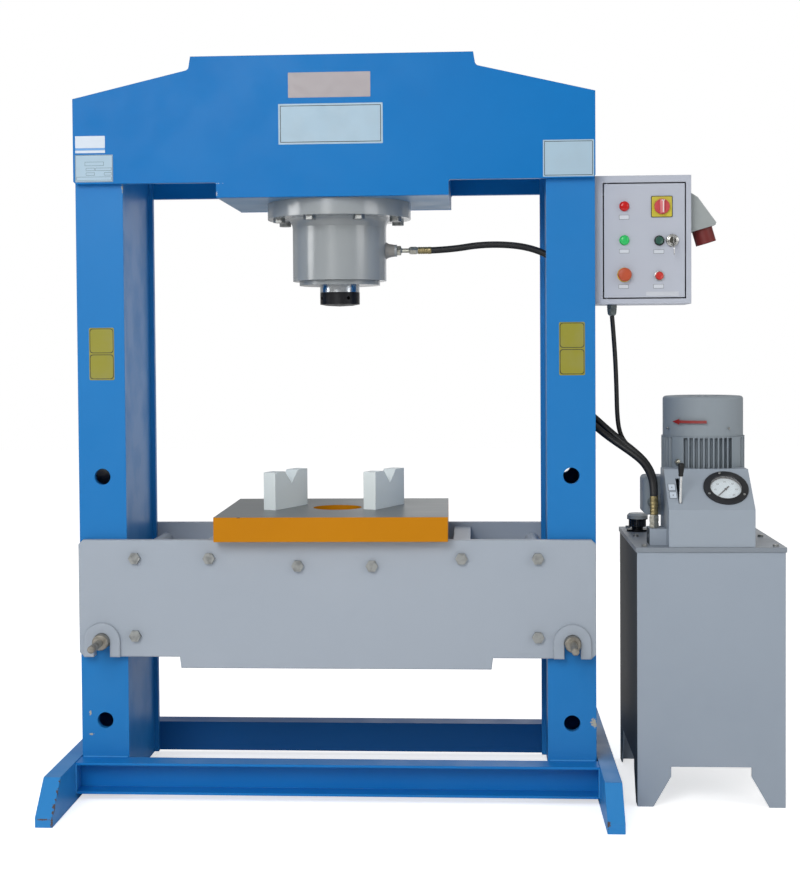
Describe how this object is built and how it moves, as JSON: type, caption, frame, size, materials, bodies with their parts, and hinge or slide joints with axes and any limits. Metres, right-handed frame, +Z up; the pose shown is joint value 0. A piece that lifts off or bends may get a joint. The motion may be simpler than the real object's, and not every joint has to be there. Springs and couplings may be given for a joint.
{
  "type": "hydraulic press",
  "caption": "Freestanding H-frame hydraulic shop press with a pinned height-adjustable bed, V-blocks, motor pump unit on a side tank, hand lever valve, pressure gauge and switch box.",
  "frame": {"origin": "centre of the whole outline seen from above, on the floor under the feet", "axes": "+Z up, +Y towards the back of the press, +X to the right seen from the operator's side"},
  "size_m": [2.036, 1.03, 2.1],
  "materials": {
    "blue_paint": "satin",
    "bed_grey": "satin",
    "cylinder_grey": "satin",
    "plate_grey": "satin",
    "table_orange": "satin",
    "block_steel": "ground",
    "pin_steel": "worn",
    "bolt_steel": "dark",
    "zinc_steel": "zinc plated",
    "ram_chrome": "polished",
    "black_steel": "blackened",
    "hose_rubber": "matt",
    "box_grey": "fine texture",
    "gear_plastic": "matt",
    "lamp_lens": "clear coloured",
    "green_plastic": "gloss",
    "red_plastic": "gloss",
    "collar_plastic": "gloss",
    "lock_chrome": "polished",
    "inlet_plastic": "matt",
    "socket_red": "matt",
    "black_plastic": "matt",
    "tank_grey": "satin",
    "console_grey": "satin",
    "dial_white": "matt",
    "gauge_glass": "clear",
    "needle_black": "matt",
    "motor_grey": "painted",
    "shaft_steel": "ground",
    "fan_plastic": "matt",
    "pump_alloy": "cast",
    "cap_grey": "matt"
  },
  "bodies": {
    "frame": {"left_column": "blue_paint", "right_column": "blue_paint", "head_front_plate": "blue_paint", "head_rear_plate": "blue_paint", "cylinder_plate": "plate_grey", "head_ribs": "blue_paint", "base_rails": "blue_paint", "left_foot": "blue_paint", "right_foot": "blue_paint", "cylinder_barrel": "cylinder_grey", "cylinder_gland": "cylinder_grey", "flange_bolts": "black_steel", "hose_fittings": "zinc_steel", "pressure_hose": "hose_rubber", "return_hose": "hose_rubber", "port_block": "zinc_steel", "switchbox": "box_grey", "switch_gear": "gear_plastic", "inlet_housing": "inlet_plastic", "inlet_socket": "socket_red", "cable_glands": "black_plastic", "control_cable": "hose_rubber", "tank": "tank_grey", "tank_lid": "tank_grey", "lid_screws": "zinc_steel", "console_cover": "console_grey", "gauge_case": "black_steel", "gauge_dial": "dial_white", "gauge_glass": "gauge_glass", "lever_valve": "zinc_steel", "motor_frame": "motor_grey", "fan_cover": "motor_grey", "terminal_box": "motor_grey", "gear_pump": "pump_alloy", "filler_neck": "black_steel"},
    "ram": {"ram": "ram_chrome", "ram_cap": "black_steel"},
    "bed": {"bed_front_plate": "bed_grey", "bed_rear_plate": "bed_grey", "bed_bolts": "bolt_steel", "bed_spacers": "bed_grey", "table": "table_orange", "v_blocks": "block_steel"},
    "left_pin": {"left_pin": "pin_steel"},
    "right_pin": {"right_pin": "pin_steel"},
    "door": {"switchbox_door": "box_grey", "signal_lamps": "lamp_lens", "control_collars": "collar_plastic", "key_lock": "lock_chrome"},
    "start_button": {"start_button": "green_plastic"},
    "stop_button": {"stop_button": "red_plastic"},
    "emergency_button": {"emergency_button": "red_plastic"},
    "isolator": {"isolator_knob": "red_plastic"},
    "key": {"key": "lock_chrome"},
    "lever": {"lever_rod": "lock_chrome", "lever_knob": "black_plastic"},
    "needle": {"gauge_needle": "needle_black"},
    "filler_cap": {"filler_cap": "cap_grey"},
    "rotor": {"motor_shaft": "shaft_steel", "motor_fan": "fan_plastic"}
  },
  "joints": [
    {"name": "ram_stroke", "type": "slide", "parent": "frame", "child": "ram", "axis": [0, 0, -1], "range_m": [0, 0.3]},
    {"name": "bed_lift", "type": "slide", "parent": "frame", "child": "bed", "axis": [0, 0, -1], "range_m": [-0.466, 0]},
    {"name": "left_pin_slide", "type": "slide", "parent": "frame", "child": "left_pin", "axis": [0, -1, 0], "range_m": [0, 0.42]},
    {"name": "right_pin_slide", "type": "slide", "parent": "frame", "child": "right_pin", "axis": [0, -1, 0], "range_m": [0, 0.42]},
    {"name": "door_hinge", "type": "hinge", "parent": "frame", "child": "door", "pos_m": [0.537, -0.164, 1.577], "axis": [0, 0, -1], "range_deg": [0, 90]},
    {"name": "start_press", "type": "slide", "parent": "door", "child": "start_button", "axis": [0, 1, 0], "range_m": [0, 0.004], "stiffness_N_per_m": 400, "springref_m": -0.004},
    {"name": "stop_press", "type": "slide", "parent": "door", "child": "stop_button", "axis": [0, 1, 0], "range_m": [0, 0.004], "stiffness_N_per_m": 400, "springref_m": -0.004},
    {"name": "emergency_press", "type": "slide", "parent": "door", "child": "emergency_button", "axis": [0, 1, 0], "range_m": [0, 0.005]},
    {"name": "isolator_turn", "type": "hinge", "parent": "door", "child": "isolator", "pos_m": [0.69, -0.164, 1.669], "axis": [0, 1, 0], "range_deg": [0, 90]},
    {"name": "key_turn", "type": "hinge", "parent": "door", "child": "key", "pos_m": [0.719, -0.164, 1.574], "axis": [0, 1, 0], "range_deg": [0, 90]},
    {"name": "lever_swing", "type": "hinge", "parent": "frame", "child": "lever", "pos_m": [0.731, -0.2325, 0.778], "axis": [-1, 0, 0], "range_deg": [0, 30]},
    {"name": "needle_turn", "type": "hinge", "parent": "frame", "child": "needle", "pos_m": [0.862, -0.20633, 0.87967], "axis": [0, 0.6626, -0.749], "range_deg": [0, 270]},
    {"name": "filler_cap_turn", "type": "hinge", "parent": "frame", "child": "filler_cap", "pos_m": [0.651, 0.118, 0.75], "axis": [0, 0, 1], "range_deg": [0, 90]},
    {"name": "motor_spin", "type": "hinge", "parent": "frame", "child": "rotor", "pos_m": [0.827, -0.01, 0.86], "axis": [0, 0, 1], "continuous": true}
  ]
}
